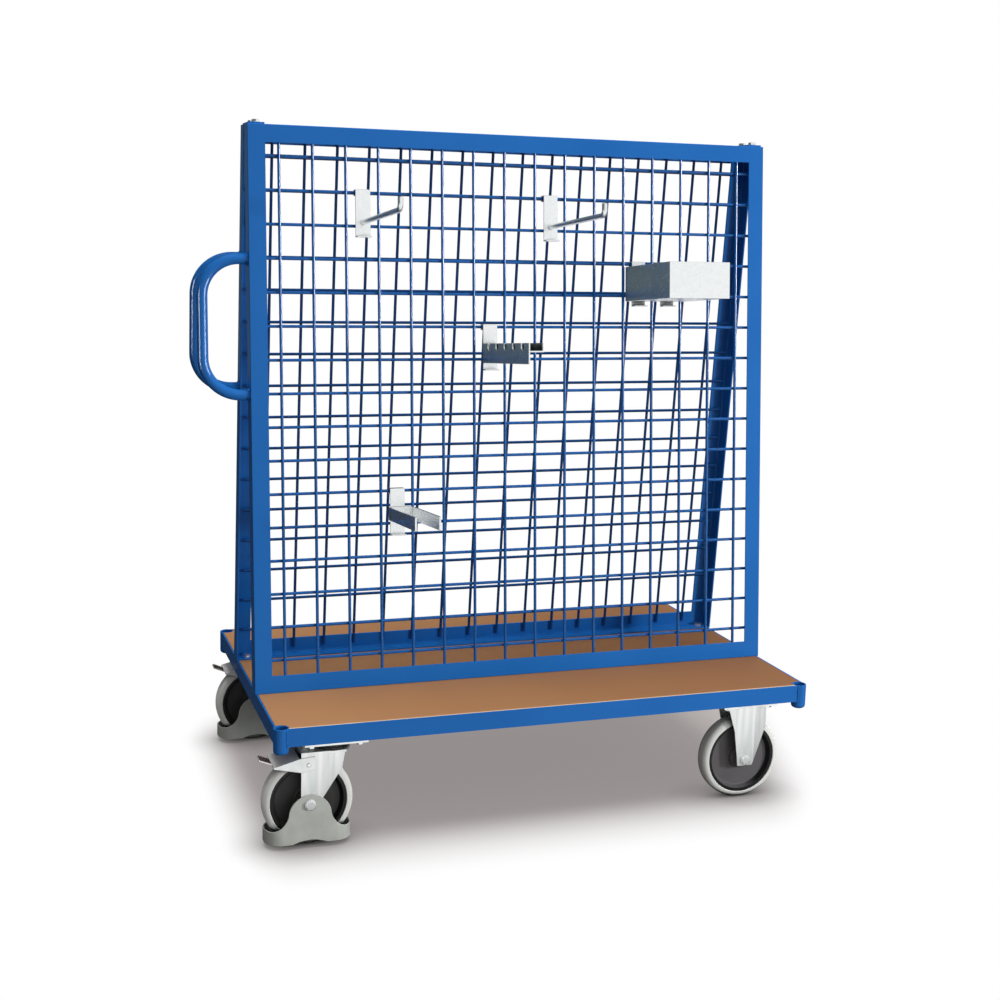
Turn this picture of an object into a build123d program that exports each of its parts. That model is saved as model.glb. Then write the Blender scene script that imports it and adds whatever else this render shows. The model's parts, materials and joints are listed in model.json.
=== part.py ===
from build123d import *
import os
from math import atan2, cos, degrees, hypot, radians, sin, sqrt

# A workshop trolley: a steel deck on four casters, with two wire mesh panels leaning together on it.
# Frame: X along the deck with the push handles at -X, Y across it, Z up. The floor is Z = 0.
# Every size is in millimetres.

# Deck
deck_length = 1285.0
deck_depth = 812.0
angle_leg = 40.0            # equal angle steel of the deck and of the panels
angle_wall = 4.0
post_diameter = 33.7
post_wall = 2.6
post_length = 58.0
post_floor = 6.0            # closed lower end of a post's socket
post_round = 8.0            # rounding of its lower end
post_proud = 3.0            # posts stand out past the rails' faces
board_thickness = 15.0
cross_member_count = 4
cross_member_width = 40.0
cross_member_wall = 2.0
gusset_margin = 10.0        # gusset beyond the caster plate

# Mesh panels, as wide as the deck is long
panel_rise = 1279.0         # height of a panel above the board
panels_foot_width = 314.0   # across both panels' outer faces at the board
panels_top_gap = 10.0       # between the two top rails
mesh_pitch = 76.2
mesh_lift = 3.0             # mesh above the middle of its frame
wire_diameter = 7.0
wire_overlap = 22.0         # wire end behind the frame's edge
foot_bolt_inset = 28.0
tie_width = 36.0
tie_length = 78.0
tie_thickness = 4.0
tie_inset = 4.0             # tie plate from the panel's end

# Push handles
handle_tube = 25.0
handle_wall = 2.0
handle_reach = 115.0        # outer face of the grip from the panel's end
handle_span = 305.0         # between the two tube ends
handle_middle = 834.0       # along the panel from its foot
handle_bend = 84.0

# Casters
wheel_diameter = 200.0
rim_diameter = 170.0
rim_width = 39.0
tyre_width = 42.0
tyre_shoulder = 13.0
web_thickness = 12.0
web_edge = 7.0              # rim lip
web_taper = 5.0             # the lip's inner wall draws in towards the web
boss_diameter = 54.0        # hub's root on the web
boss_width = 36.0
hub_diameter = 42.0
hub_bore = 28.0
sleeve_diameter = 20.0
caster_trail = 54.0
swivel_inset = 136.0        # swivel axis from the deck's end
fixed_inset = 150.0         # fixed axle from the deck's other end
caster_bolt_inset = 20.0    # outer plate bolts from the deck's long edge
plate_length = 140.0
plate_width = 110.0
plate_thickness = 5.0
plate_bolts_long = 105.0
plate_bolts_wide = 80.0
fork_sheet = 3.0
fork_set_back = 9.0         # how far the arms' wings lean in
fork_side_gap = 5.0         # between the wings and the tyre
fork_flat_margin = 1.0      # flat middle of an arm past the hub
fork_foot_radius = 20.0
fork_front_reach = 25.0     # front edge of the swivel arm past the swivel axis
fork_front_knee = (18.0, -26.0)  # bend in that edge, from the swivel axis and up from the wheel's top
crown_clearance = 12.0      # crown above the tyre
crown_thickness = 5.0
crown_diameter = 80.0
race_height = 13.7
race_diameter = 76.0
race_bore = 40.0
race_boss_diameter = 72.0
race_boss_height = 4.0
kingpin_diameter = 16.0
kingpin_head_diameter = 26.0
kingpin_head_height = 6.0
fixed_fork_near = 46.0      # fixed fork under its plate, from the axle towards the handles
fixed_fork_waist = (-29.0, -28.0)  # bend in that side, from the axle and up from the wheel's top
fixed_fork_far = 56.0       # the same away from the handles
fixed_fork_knee = 59.0      # below the plate, where the far side starts to draw in
fixed_fork_foot = 38.0
fixed_fork_toe = 14.0       # fork end below the axle

# Brake and foot guard of the swivel casters; points lie along X from the axle, and up from the wheel's top
pedal_pivot = (-4.0, -10.0)
pedal_travel = 8.0          # degrees, pressed down
pedal_sheet = 2.5
pedal_tread_width = 30.0
pedal_tread_thickness = 3.0
pedal_kink = (-80.0, -10.0)
pedal_tip = (-107.0, 1.0)
pedal_heel = (-24.0, 5.0)
pedal_knee = (-17.0, -27.0)
pedal_cheek_end = (10.0, -20.0)
pedal_cheek_top = (10.0, 8.0)
pedal_cheek_depth = 3.0     # cheek below the tread plate at the kink
shoe_width = 36.0
shoe_start = 46.0           # brake shoe's reach from the axle
shoe_end = 70.0
rivet_diameter = 8.0
rivet_head_diameter = 11.0
rivet_head_height = 2.0
guard_sheet = 3.0
guard_length = 192.0
guard_corner = 38.0
guard_bottom = 12.0
guard_ear_radius = 47.0
guard_ear_drop = 25.0       # middle of the ear's curve below the axle
guard_end_drop = 58.0       # top of the end walls below the axle
guard_scoop_radius = 43.0
guard_notch_width = 76.0
guard_notch_height = 8.0

# Holders hung on the front mesh; a column counts gaps between upright wires from the left, and a row
# counts cross wires down from the top one
hanger_width = 35.0
hanger_height = 109.0
hanger_sheet = 3.0
hanger_tail = 14.0
hanger_lip = 16.0           # foot folded forward at a plate's lower end
disc_hook_columns = (2, 8)
disc_hook_row = 1
disc_hook_drop = 68.0       # peg below the wire that carries it
disc_hook_length = 330.0
disc_hook_rod = 12.0
disc_hook_lift = 26.0
disc_hook_bend = 14.0
hammer_column = 3
hammer_shift = 8.4          # off the middle of its column
hammer_row = 10
hammer_drop = 52.0
hammer_prong_length = 228.0
hammer_prong_height = 31.0
hammer_prong_sheet = 5.0
hammer_gap = 50.0
rack_column = 6
rack_row = 5
rack_drop = 39.0            # rack's upper edge below the wire that carries it
rack_length = 315.0
rack_width = 35.0
rack_height = 46.0
rack_sheet = 3.0
rack_corner = 10.0          # lower front corner of its near plate
rack_notches = 5
rack_notch_width = 20.0
rack_notch_depth = 17.0     # down to the shelf
rack_notch_pitch = 58.0
tray_columns = (11, 12)
tray_row = 3
tray_shift = 3.0            # off the middle of its two columns
tray_width = 152.0
tray_length = 250.0
tray_height = 83.0
tray_sheet = 2.0
tray_drop = 7.0             # tray's rim below the wire that carries it

# Fasteners
bolt_diameter = 10.0
bolt_flats = 16.0
bolt_head_height = 6.4
nut_height = 8.4
axle_diameter = 12.0
axle_flats = 19.0
axle_head_height = 7.5
axle_nut_height = 10.0
thread_end = 2.5            # bolt end past its nut

# Clearances
weld_gap = 0.05             # between welded or bonded round faces
running_gap = 0.05          # radial, shaft in bearing
hole_gap = 0.25             # radial, bolt in hole
board_gap = 0.5
swivel_gap = 0.3            # between turning faces of a caster
hub_gap = 0.5               # hub end to fork
brake_gap = 0.4             # brake shoe to tyre when pressed
cut_margin = 1.0            # cuts run past a face by this much

# Places worked out from the sizes above
deck_centre_x = handle_reach / 2
half_length = deck_length / 2
half_depth = deck_depth / 2
face_x = half_length - post_proud
face_y = half_depth - post_proud
wheel_radius = wheel_diameter / 2
crown_bottom = wheel_diameter + crown_clearance
crown_top = crown_bottom + crown_thickness
race_top = crown_top + race_height
plate_bottom = race_top + swivel_gap + race_boss_height
rail_bottom = plate_bottom + plate_thickness
ledge_top = rail_bottom + angle_wall
deck_height = rail_bottom + angle_leg
board_bottom = deck_height - board_thickness
post_radius = post_diameter / 2
swivel_x = swivel_inset - half_length
fixed_x = half_length - fixed_inset
caster_y = half_depth - caster_bolt_inset - plate_bolts_wide / 2
arm_inner = tyre_width / 2 + fork_side_gap + fork_set_back
arm_outer = arm_inner + fork_sheet
arm_flat = hub_diameter / 2 + fork_flat_margin
guard_top = wheel_radius - guard_end_drop
bolt_radius = bolt_diameter / 2
hole_radius = bolt_radius + hole_gap
axle_radius = axle_diameter / 2
half_panel = half_length
panel_top = deck_height + panel_rise
foot_y = -panels_foot_width / 2
head_y = -angle_leg - panels_top_gap / 2
lean = atan2(head_y - foot_y, panel_rise)
panel_length = hypot(head_y - foot_y, panel_rise)
mesh_columns = int((2 * half_panel - 2 * angle_leg) // mesh_pitch) + 1
mesh_rows = int((panel_length - 2 * angle_leg) // mesh_pitch) + 1
panel_frame = Location((0, foot_y, deck_height), (-degrees(lean), 0, 0))
upright_depth = angle_wall + weld_gap + wire_diameter / 2
cross_depth = upright_depth + wire_diameter + weld_gap
hanger_back = upright_depth - wire_diameter / 2 - weld_gap
hanger_front = hanger_back - hanger_sheet
foot_bolt_y = panels_foot_width / 2 - (angle_leg + angle_wall) / 2
foot_bolt_x = half_panel - foot_bolt_inset
tie_bolt_x = half_panel - tie_inset - tie_width / 2
tie_bolt_y = (angle_leg + panels_top_gap) / 2


def box(x0, x1, y0, y1, z0, z1):
    middle = Pos((x0 + x1) / 2, (y0 + y1) / 2, (z0 + z1) / 2)
    return middle * Box(x1 - x0, y1 - y0, z1 - z0)


def prism_x(points, x0, x1):
    outline = Polygon(*points, align=None)
    return extrude(Plane.YZ.offset(x0) * outline, x1 - x0, dir=(1, 0, 0))


def sheet_y(outline, y0, y1):
    return extrude(Plane.XZ.offset(-y0) * outline, y1 - y0, dir=(0, 1, 0))


def prism_y(points, y0, y1):
    return sheet_y(Polygon(*points, align=None), y0, y1)


def rod_x(radius, x0, x1, y, z):
    return Pos((x0 + x1) / 2, y, z) * Rot(0, 90, 0) * Cylinder(radius, x1 - x0)


def rod_y(radius, y0, y1, x, z):
    return Pos(x, (y0 + y1) / 2, z) * Rot(90, 0, 0) * Cylinder(radius, y1 - y0)


def rod_z(radius, z0, z1, x, y):
    return Pos(x, y, (z0 + z1) / 2) * Cylinder(radius, z1 - z0)


def hexagon(flats, height):
    return extrude(RegularPolygon(flats / 2, 6, major_radius=False), height)


def bolt(flats, head_height, radius, length):
    return hexagon(flats, head_height) + rod_z(radius, -length, 0, 0, 0)


def nut(flats, height, radius):
    return hexagon(flats, height) - rod_z(radius + weld_gap, -cut_margin, height + cut_margin, 0, 0)


def bent_rod(points, bend, radius, bore=0.0):
    path = FilletPolyline(*points, radius=bend)
    section = Circle(radius) - Circle(bore) if bore else Circle(radius)
    return sweep(Plane(path @ 0, z_dir=path % 0) * section, path=path)


def across(shape):
    return mirror(shape, about=Plane.XZ)


def save(name, *shapes):
    solids = [solid for shape in shapes for solid in shape.solids()]
    placed = [Pos(deck_centre_x, 0, 0) * solid for solid in solids]
    export_step(Compound(placed), f"parts/{name}.step")


def post_places():
    x = half_length - post_radius
    y = half_depth - post_radius
    return [(sx * x, sy * y) for sx in (-1, 1) for sy in (-1, 1)]


def post_clearance(gap):
    posts = [rod_z(post_radius + gap, 0, 2 * deck_height, x, y) for x, y in post_places()]
    return Compound(posts)


def caster_bolt_places():
    places = []
    for x in (swivel_x, fixed_x):
        for side in (-1, 1):
            for along in (-1, 1):
                for out in (-1, 1):
                    bolt_x = x + along * plate_bolts_long / 2
                    bolt_y = side * caster_y + out * plate_bolts_wide / 2
                    places.append((bolt_x, bolt_y))
    return places


def caster_bolt_holes():
    return Compound([rod_z(hole_radius, 0, board_bottom, x, y) for x, y in caster_bolt_places()])


def side_rail():
    section = [
        (-face_y, rail_bottom),
        (-face_y + angle_leg, rail_bottom),
        (-face_y + angle_leg, ledge_top),
        (-face_y + angle_wall, ledge_top),
        (-face_y + angle_wall, deck_height),
        (-face_y, deck_height),
    ]
    reach = half_length - post_radius
    return prism_x(section, -reach, reach) - post_clearance(weld_gap) - caster_bolt_holes()


def end_rail():
    reach = half_depth - post_radius
    ledge_reach = face_y - angle_leg
    web = box(-face_x, -face_x + angle_wall, -reach, reach, rail_bottom, deck_height)
    ledge = box(-face_x, -face_x + angle_leg, -ledge_reach, ledge_reach, rail_bottom, ledge_top)
    return web + ledge - post_clearance(weld_gap)


def corner_posts():
    bottom = deck_height - post_length
    socket_radius = post_radius - post_wall
    posts = []
    for x, y in post_places():
        post = rod_z(post_radius, bottom, deck_height, x, y)
        post = fillet(post.faces().sort_by(Axis.Z)[0].edges(), post_round)
        posts.append(post - rod_z(socket_radius, bottom + post_floor, deck_height + cut_margin, x, y))
    return posts


def cross_members():
    reach = face_y - angle_wall - board_gap
    half = cross_member_width / 2
    step = (fixed_x - swivel_x) / (cross_member_count - 1)
    members = []
    for count in range(cross_member_count):
        x = swivel_x + count * step
        outer = box(x - half, x + half, -reach, reach, ledge_top, board_bottom)
        inner = box(
            x - half + cross_member_wall,
            x + half - cross_member_wall,
            -reach - cut_margin,
            reach + cut_margin,
            ledge_top + cross_member_wall,
            board_bottom - cross_member_wall,
        )
        members.append(outer - inner)
    return members


def corner_gussets():
    beyond = plate_length / 2 + gusset_margin
    y0 = -face_y + angle_leg
    y1 = -caster_y + plate_width / 2 + gusset_margin
    left = box(-face_x + angle_leg, swivel_x + beyond, y0, y1, rail_bottom, ledge_top)
    right = box(fixed_x - beyond, face_x - angle_leg, y0, y1, rail_bottom, ledge_top)
    front = [left - caster_bolt_holes(), right - caster_bolt_holes()]
    return front + [across(plate) for plate in front]


def foot_bolt_places():
    return [(sx * foot_bolt_x, sy * foot_bolt_y) for sx in (-1, 1) for sy in (-1, 1)]


def foot_bolt_holes():
    bottom = board_bottom - cut_margin
    return Compound([rod_z(hole_radius, bottom, panel_top, x, y) for x, y in foot_bolt_places()])


def deck_board():
    x = face_x - angle_wall - board_gap
    y = face_y - angle_wall - board_gap
    board = box(-x, x, -y, y, board_bottom, deck_height)
    return board - post_clearance(board_gap) - foot_bolt_holes()


def panel_point(along, depth):
    y = foot_y + along * sin(lean) + depth * cos(lean)
    z = deck_height + along * cos(lean) - depth * sin(lean)
    return (y, z)


def panel_point_at(height, depth):
    along = (height - deck_height + depth * sin(lean)) / cos(lean)
    return panel_point(along, depth)


def tie_bolt_places():
    return [(sx * tie_bolt_x, sy * tie_bolt_y) for sx in (-1, 1) for sy in (-1, 1)]


def tie_bolt_holes():
    return Compound([rod_z(hole_radius, deck_height, 2 * panel_top, x, y) for x, y in tie_bolt_places()])


def panel_top_rail():
    corner_y, corner_z = panel_point_at(panel_top, 0)
    section = [
        panel_point(panel_length - angle_leg, 0),
        (corner_y, corner_z),
        (corner_y + angle_leg, corner_z),
        (corner_y + angle_leg, corner_z - angle_wall),
        panel_point_at(panel_top - angle_wall, angle_wall),
        panel_point(panel_length - angle_leg, angle_wall),
    ]
    return prism_x(section, -half_panel, half_panel) - tie_bolt_holes()


def panel_bottom_rail():
    section = [
        panel_point(angle_leg, 0),
        (foot_y, deck_height),
        (foot_y + angle_leg, deck_height),
        (foot_y + angle_leg, deck_height + angle_wall),
        panel_point_at(deck_height + angle_wall, angle_wall),
        panel_point(angle_leg, angle_wall),
    ]
    return prism_x(section, -half_panel, half_panel) - foot_bolt_holes()


def panel_stile():
    high = panel_length - angle_leg
    under_top = panel_top - angle_wall
    over_foot = deck_height + angle_wall
    face = [
        panel_point(angle_leg, 0),
        panel_point(high, 0),
        panel_point(high, angle_wall),
        panel_point(angle_leg, angle_wall),
    ]
    side = [
        panel_point(angle_leg, 0),
        panel_point(high, 0),
        panel_point(high, angle_wall),
        panel_point_at(under_top, angle_wall),
        panel_point_at(under_top, angle_leg),
        panel_point_at(over_foot, angle_leg),
        panel_point_at(over_foot, angle_wall),
        panel_point(angle_leg, angle_wall),
    ]
    face_flange = prism_x(face, -half_panel, -half_panel + angle_leg)
    side_flange = prism_x(side, -half_panel, -half_panel + angle_wall)
    return face_flange + side_flange


def wire_place(column):
    return (column - (mesh_columns - 1) / 2) * mesh_pitch


def cross_wire_height(row):
    return panel_length / 2 + mesh_lift + ((mesh_rows - 1) / 2 - row) * mesh_pitch


def panel_mesh():
    radius = wire_diameter / 2
    edge = angle_leg - wire_overlap
    reach = half_panel - edge
    wires = []
    for column in range(mesh_columns):
        wires.append(rod_z(radius, edge, panel_length - edge, wire_place(column), upright_depth))
    for row in range(mesh_rows):
        wires.append(rod_x(radius, -reach, reach, cross_depth, cross_wire_height(row)))
    return [panel_frame * wire for wire in wires]


def push_handle():
    depth = angle_leg / 2
    out = -half_panel - handle_reach + handle_tube / 2
    low = handle_middle - handle_span / 2
    high = handle_middle + handle_span / 2
    points = [(-half_panel, depth, high), (out, depth, high), (out, depth, low), (-half_panel, depth, low)]
    radius = handle_tube / 2
    return panel_frame * bent_rod(points, handle_bend, radius, radius - handle_wall)


def tie_plates():
    plates = []
    for side in (-1, 1):
        x = side * tie_bolt_x
        plate = box(
            x - tie_width / 2,
            x + tie_width / 2,
            -tie_length / 2,
            tie_length / 2,
            panel_top,
            panel_top + tie_thickness,
        )
        plates.append(plate - tie_bolt_holes())
    return plates


def panel_foot_bolts():
    length = angle_wall + board_thickness + nut_height + thread_end
    one = bolt(bolt_flats, bolt_head_height, bolt_radius, length)
    return [Pos(x, y, deck_height + angle_wall) * one for x, y in foot_bolt_places()]


def panel_tie_bolts():
    length = tie_thickness + angle_wall + nut_height + thread_end
    one = bolt(bolt_flats, bolt_head_height, bolt_radius, length)
    return [Pos(x, y, panel_top + tie_thickness) * one for x, y in tie_bolt_places()]


def frame_nuts():
    one = nut(bolt_flats, nut_height, bolt_radius)
    feet = [Pos(x, y, board_bottom - nut_height) * one for x, y in foot_bolt_places()]
    ties = [Pos(x, y, panel_top - angle_wall - nut_height) * one for x, y in tie_bolt_places()]
    casters = [Pos(x, y, ledge_top) * one for x, y in caster_bolt_places()]
    return feet + ties + casters


def caster_plate_bolts():
    length = plate_thickness + angle_wall + nut_height + thread_end
    one = Rot(180, 0, 0) * bolt(bolt_flats, bolt_head_height, bolt_radius, length)
    return [Pos(x, y, plate_bottom) * one for x, y in caster_bolt_places()]


def caster_plate():
    plate = box(
        -plate_length / 2,
        plate_length / 2,
        -plate_width / 2,
        plate_width / 2,
        plate_bottom,
        rail_bottom,
    )
    for along in (-1, 1):
        for out in (-1, 1):
            x = along * plate_bolts_long / 2
            y = out * plate_bolts_wide / 2
            plate -= rod_z(hole_radius, 0, deck_height, x, y)
    return plate


def swivel_top_plate():
    boss = rod_z(race_boss_diameter / 2, plate_bottom - race_boss_height, plate_bottom, 0, 0)
    pin_hole = rod_z(kingpin_diameter / 2 + weld_gap, 0, deck_height, 0, 0)
    return caster_plate() + boss - pin_hole


def kingpin():
    head_top = crown_bottom - swivel_gap
    head = rod_z(kingpin_head_diameter / 2, head_top - kingpin_head_height, head_top, 0, 0)
    return head + rod_z(kingpin_diameter / 2, head_top, rail_bottom, 0, 0)


def race_ring():
    ring = rod_z(race_diameter / 2, crown_top, race_top, 0, 0)
    return ring - rod_z(race_bore / 2, crown_top - cut_margin, race_top + cut_margin, 0, 0)


def drill_arms(shape, radius, x, z):
    return shape - rod_y(radius, -arm_outer - cut_margin, arm_outer + cut_margin, x, z)


def folded_arm(breaks, bottom, top):
    outer = [(x, -arm_outer + lean_in) for x, lean_in in breaks]
    inner = [(x, y + fork_sheet) for x, y in reversed(outer)]
    section = Polygon(*outer, *inner, align=None)
    return extrude(Pos(0, 0, bottom) * section, top - bottom, dir=(0, 0, 1))


def brake_point(place):
    return (place[0] - caster_trail, place[1] + wheel_diameter)


def swivel_fork():
    axle_x = -caster_trail
    back = axle_x - fork_foot_radius
    knee_x, knee_z = fork_front_knee
    outline = Polygon(
        (back, wheel_radius),
        (axle_x + fork_foot_radius, wheel_radius),
        (knee_x, wheel_diameter + knee_z),
        (fork_front_reach, crown_top),
        (back, crown_top),
        align=None,
    )
    outline += Pos(axle_x, wheel_radius) * Circle(fork_foot_radius)
    breaks = [(back, 0), (axle_x + arm_flat, 0), (fork_front_reach, fork_set_back)]
    arm = folded_arm(breaks, wheel_radius - fork_foot_radius, crown_top)
    arm = arm & sheet_y(outline, -arm_outer, 0)
    crown = box(back, fork_front_reach, -arm_outer, arm_outer, crown_bottom, crown_top)
    crown += rod_z(crown_diameter / 2, crown_bottom, crown_top, 0, 0)
    fork = crown + arm + across(arm)
    fork -= rod_z(kingpin_diameter / 2 + running_gap, 0, deck_height, 0, 0)
    fork = drill_arms(fork, axle_radius + weld_gap, axle_x, wheel_radius)
    return drill_arms(fork, rivet_diameter / 2 + weld_gap, *brake_point(pedal_pivot))


def fixed_fork():
    near = -fixed_fork_near
    far = fixed_fork_far
    half_foot = fixed_fork_foot / 2
    toe = wheel_radius - fixed_fork_toe
    waist_x, waist_z = fixed_fork_waist
    outline = Polygon(
        (-half_foot, toe),
        (half_foot, toe),
        (far, plate_bottom - fixed_fork_knee),
        (far, plate_bottom),
        (near, plate_bottom),
        (waist_x, wheel_diameter + waist_z),
        align=None,
    )
    breaks = [(near, fork_set_back), (-arm_flat, 0), (arm_flat, 0), (far, fork_set_back)]
    arm = folded_arm(breaks, toe, plate_bottom) & sheet_y(outline, -arm_outer, 0)
    fork = caster_plate() + arm + across(arm)
    return drill_arms(fork, axle_radius + weld_gap, 0, wheel_radius)


def axle(axle_x, clamped):
    length = 2 * clamped + axle_nut_height + thread_end
    bolt_shape = Rot(90, 0, 0) * bolt(axle_flats, axle_head_height, axle_radius, length)
    nut_shape = Rot(-90, 0, 0) * nut(axle_flats, axle_nut_height, axle_radius)
    sleeve = rod_y(sleeve_diameter / 2, -arm_inner, arm_inner, axle_x, wheel_radius)
    sleeve = drill_arms(sleeve, axle_radius + weld_gap, axle_x, wheel_radius)
    head_place = Pos(axle_x, -clamped, wheel_radius)
    nut_place = Pos(axle_x, clamped, wheel_radius)
    return [head_place * bolt_shape, sleeve, nut_place * nut_shape]


def turned(points, axle_x):
    outline = Plane.YZ * Polygon(*points, align=None)
    ring = revolve(outline, Axis.Y)
    return Pos(axle_x, 0, wheel_radius) * ring


def turned_tube(inside, outside, half_width, axle_x):
    points = [(-half_width, inside), (half_width, inside), (half_width, outside), (-half_width, outside)]
    return turned(points, axle_x)


def wheel_rim(axle_x):
    bore = hub_bore / 2
    hub = hub_diameter / 2
    rim = rim_diameter / 2
    half_hub = arm_inner - hub_gap
    half_rim = rim_width / 2
    half_web = web_thickness / 2
    half_boss = boss_width / 2
    boss = boss_diameter / 2
    lip = rim - web_edge
    near = [
        (-half_hub, bore),
        (-half_hub, hub),
        (-half_boss, hub),
        (-half_boss, boss),
        (-half_web, boss),
        (-half_web, lip - web_taper),
        (-half_rim, lip),
        (-half_rim, rim),
    ]
    far = [(-y, radius) for y, radius in reversed(near)]
    return turned(near + far, axle_x)


def hub_bearing(axle_x):
    half_hub = arm_inner - hub_gap
    outside = hub_bore / 2 - weld_gap
    inside = sleeve_diameter / 2 + running_gap
    return turned_tube(inside, outside, half_hub, axle_x)


def tyre(axle_x):
    inside = rim_diameter / 2 + weld_gap
    half = tyre_width / 2
    ring = turned_tube(inside, wheel_radius, half, axle_x)
    middle = Vector(axle_x, 0, wheel_radius)
    treads = [edge for edge in ring.edges() if (edge @ 0 - middle).length > wheel_radius]
    return fillet(treads, tyre_shoulder)


def foot_guard():
    ear_outer = arm_outer + guard_sheet
    ear_z = wheel_radius - guard_ear_drop
    ear_top = ear_z + guard_ear_radius
    ring = RectangleRounded(guard_length, 2 * ear_outer, guard_corner)
    ring -= RectangleRounded(guard_length - 2 * guard_sheet, 2 * arm_outer, guard_corner - guard_sheet)
    wall = extrude(Pos(0, 0, guard_bottom) * ring, ear_top - guard_bottom)
    apart = guard_ear_radius + guard_scoop_radius
    scoop_z = guard_top + guard_scoop_radius
    scoop_x = sqrt(apart**2 - (scoop_z - ear_z) ** 2)
    meet_z = ear_z + (scoop_z - ear_z) * guard_ear_radius / apart
    outline = Pos(0, (guard_bottom + guard_top) / 2) * Rectangle(guard_length, guard_top - guard_bottom)
    outline += Pos(0, (guard_top + meet_z) / 2) * Rectangle(2 * scoop_x, meet_z - guard_top)
    for way in (-1, 1):
        outline -= Pos(way * scoop_x, scoop_z) * Circle(guard_scoop_radius)
    outline += Pos(0, ear_z) * Circle(guard_ear_radius)
    outline -= Pos(0, wheel_radius) * Circle(axle_radius + weld_gap)
    half_notch = guard_notch_width / 2
    notch_radius = (half_notch**2 + guard_notch_height**2) / (2 * guard_notch_height)
    outline -= Pos(0, guard_bottom + guard_notch_height - notch_radius) * Circle(notch_radius)
    guard = wall & sheet_y(outline, -ear_outer - cut_margin, ear_outer + cut_margin)
    return Pos(-caster_trail, 0, 0) * guard


def bent_plate_y(start, end, thickness, y0, y1):
    points = [start, end, (end[0], end[1] - thickness), (start[0], start[1] - thickness)]
    return prism_y(points, y0, y1)


def brake_pedal():
    kink = brake_point(pedal_kink)
    heel = brake_point(pedal_heel)
    pivot_x, pivot_z = brake_point(pedal_pivot)
    cheek_inner = arm_outer + swivel_gap
    cheek_outer = cheek_inner + pedal_sheet
    cheek_points = [
        kink,
        (kink[0], kink[1] - pedal_cheek_depth),
        brake_point(pedal_knee),
        brake_point(pedal_cheek_end),
        brake_point(pedal_cheek_top),
        heel,
    ]
    cheek = prism_y(cheek_points, -cheek_outer, -cheek_inner)
    half_tread = pedal_tread_width / 2
    pedal = bent_plate_y(kink, heel, pedal_tread_thickness, -cheek_outer, cheek_outer)
    pedal += cheek + across(cheek)
    pedal += bent_plate_y(brake_point(pedal_tip), kink, pedal_tread_thickness, -half_tread, half_tread)
    hole = rivet_diameter / 2 + running_gap
    return pedal - rod_y(hole, -2 * cheek_outer, 2 * cheek_outer, pivot_x, pivot_z)


def pedal_underside(x):
    kink_x, kink_z = brake_point(pedal_kink)
    heel_x, heel_z = brake_point(pedal_heel)
    return kink_z + (x - kink_x) / (heel_x - kink_x) * (heel_z - kink_z) - pedal_tread_thickness


def brake_shoe():
    turn = radians(pedal_travel)
    pivot_x, pivot_z = brake_point(pedal_pivot)
    off_x = -caster_trail - pivot_x
    off_z = wheel_radius - pivot_z
    tyre_x = pivot_x + off_x * cos(turn) + off_z * sin(turn)
    tyre_z = pivot_z - off_x * sin(turn) + off_z * cos(turn)
    start = -caster_trail - shoe_start
    end = -caster_trail - shoe_end
    points = [
        (end, pedal_underside(end)),
        (start, pedal_underside(start)),
        (start, wheel_radius),
        (end, wheel_radius),
    ]
    block = prism_y(points, -shoe_width / 2, shoe_width / 2)
    return block - rod_y(wheel_radius + brake_gap, -shoe_width, shoe_width, tyre_x, tyre_z)


def pedal_rivets():
    pivot = brake_point(pedal_pivot)
    shank_end = arm_outer + 2 * swivel_gap + pedal_sheet
    rivet = rod_y(rivet_diameter / 2, -shank_end, -arm_inner, *pivot)
    head = rivet_head_diameter / 2
    rivet += rod_y(head, -arm_inner, -arm_inner + rivet_head_height, *pivot)
    rivet += rod_y(head, -shank_end - rivet_head_height, -shank_end, *pivot)
    return [rivet, across(rivet)]


def at_caster(shape, x, side):
    facing = shape if side < 0 else across(shape)
    return Pos(x, side * caster_y, 0) * facing


def column_x(column):
    return wire_place(column) + mesh_pitch / 2


def hanger_plate(x, row):
    wire_back = cross_depth + wire_diameter / 2 + weld_gap
    x0 = x - hanger_width / 2
    x1 = x + hanger_width / 2
    rest = cross_wire_height(row) + wire_diameter / 2 + weld_gap
    top = rest + hanger_sheet
    hook = box(x0, x1, hanger_front, wire_back + hanger_sheet, rest, top)
    hook += box(x0, x1, wire_back, wire_back + hanger_sheet, top - hanger_tail, top)
    bottom = top - hanger_height
    plate = box(x0, x1, hanger_front, hanger_back, bottom, top)
    lip = box(x0, x1, hanger_front - hanger_lip, hanger_front, bottom, bottom + hanger_sheet)
    return panel_frame * (plate + hook + lip)


def hanger_plates():
    plates = [hanger_plate(column_x(column), disc_hook_row) for column in disc_hook_columns]
    plates.append(hanger_plate(column_x(hammer_column), hammer_row))
    plates.append(hanger_plate(column_x(rack_column), rack_row))
    plates += [hanger_plate(column_x(column), tray_row) for column in tray_columns]
    return plates


def disc_hooks():
    hooks = []
    for column in disc_hook_columns:
        x = column_x(column)
        z = cross_wire_height(disc_hook_row) - disc_hook_drop
        tip = hanger_front - disc_hook_length
        points = [(x, hanger_front, z), (x, tip, z), (x, tip, z + disc_hook_lift)]
        hooks.append(panel_frame * bent_rod(points, disc_hook_bend, disc_hook_rod / 2))
    return hooks


def hammer_fork():
    x = column_x(hammer_column) + hammer_shift
    z = cross_wire_height(hammer_row) - hammer_drop
    z0 = z - hammer_prong_height / 2
    z1 = z0 + hammer_prong_height
    half = hammer_gap / 2
    wide = half + hammer_prong_sheet
    tip = hanger_front - hammer_prong_length
    fork = box(x - wide, x + wide, hanger_front - hammer_prong_sheet, hanger_front, z0, z1)
    fork += box(x - wide, x - half, tip, hanger_front, z0, z1)
    fork += box(x + half, x + wide, tip, hanger_front, z0, z1)
    return panel_frame * fork


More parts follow.
